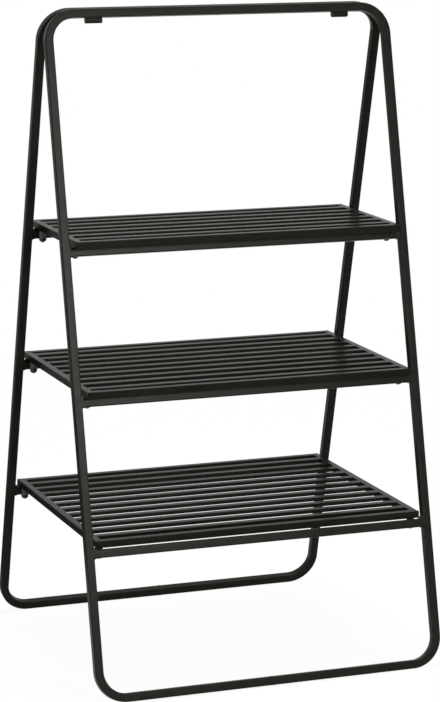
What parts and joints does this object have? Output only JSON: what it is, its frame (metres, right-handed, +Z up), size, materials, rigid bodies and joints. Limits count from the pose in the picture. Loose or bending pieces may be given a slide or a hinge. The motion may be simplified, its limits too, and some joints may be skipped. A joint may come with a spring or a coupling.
{
  "type": "plant ladder stand",
  "caption": "Folding A-frame plant ladder stand in black steel tube, with slatted shelves that grow deeper towards the floor.",
  "frame": {"origin": "on the floor, midway between the front and rear feet and between the two sides", "axes": "+X across the stand to the right seen from the front, +Y towards the rear, +Z up"},
  "size_m": [0.671, 0.6268, 1.202],
  "materials": {
    "frame_paint": "satin powder coat",
    "shelf_paint": "satin powder coat",
    "peg_plastic": "matt moulded plastic",
    "fastener_steel": "blackened steel"
  },
  "bodies": {
    "front_frame": {"front_left_tube": "frame_paint", "front_right_tube": "frame_paint", "front_top_crossbar": "frame_paint", "front_middle_crossbar": "frame_paint", "front_bottom_crossbar": "frame_paint", "left_hinge_front_leaf": "frame_paint", "right_hinge_front_leaf": "frame_paint", "left_hinge_pin": "fastener_steel", "right_hinge_pin": "fastener_steel", "front_seat_pegs": "peg_plastic", "front_peg_screws": "fastener_steel"},
    "rear_frame": {"rear_left_tube": "frame_paint", "rear_right_tube": "frame_paint", "rear_top_crossbar": "frame_paint", "rear_middle_crossbar": "frame_paint", "rear_bottom_crossbar": "frame_paint", "left_hinge_rear_leaf": "frame_paint", "right_hinge_rear_leaf": "frame_paint", "rear_seat_pegs": "peg_plastic", "rear_peg_screws": "fastener_steel"},
    "top_shelf": {"top_shelf_front_rail": "shelf_paint", "top_shelf_rear_rail": "shelf_paint", "top_shelf_left_rail": "shelf_paint", "top_shelf_right_rail": "shelf_paint", "top_shelf_slats": "shelf_paint"},
    "middle_shelf": {"middle_shelf_front_rail": "shelf_paint", "middle_shelf_rear_rail": "shelf_paint", "middle_shelf_left_rail": "shelf_paint", "middle_shelf_right_rail": "shelf_paint", "middle_shelf_slats": "shelf_paint"},
    "bottom_shelf": {"bottom_shelf_front_rail": "shelf_paint", "bottom_shelf_rear_rail": "shelf_paint", "bottom_shelf_left_rail": "shelf_paint", "bottom_shelf_right_rail": "shelf_paint", "bottom_shelf_slats": "shelf_paint"}
  },
  "joints": [
    {"name": "frame_fold", "type": "hinge", "parent": "front_frame", "child": "rear_frame", "pos_m": [0, 0, 1.17885], "axis": [-1, 0, 0], "range_deg": [0, 24.6]},
    {"name": "top_shelf_pull", "type": "slide", "parent": "front_frame", "child": "top_shelf", "axis": [0, -1, 0], "range_m": [0, 0.455]},
    {"name": "middle_shelf_pull", "type": "slide", "parent": "front_frame", "child": "middle_shelf", "axis": [0, -1, 0], "range_m": [0, 0.51]},
    {"name": "bottom_shelf_pull", "type": "slide", "parent": "front_frame", "child": "bottom_shelf", "axis": [0, -1, 0], "range_m": [0, 0.56]}
  ]
}
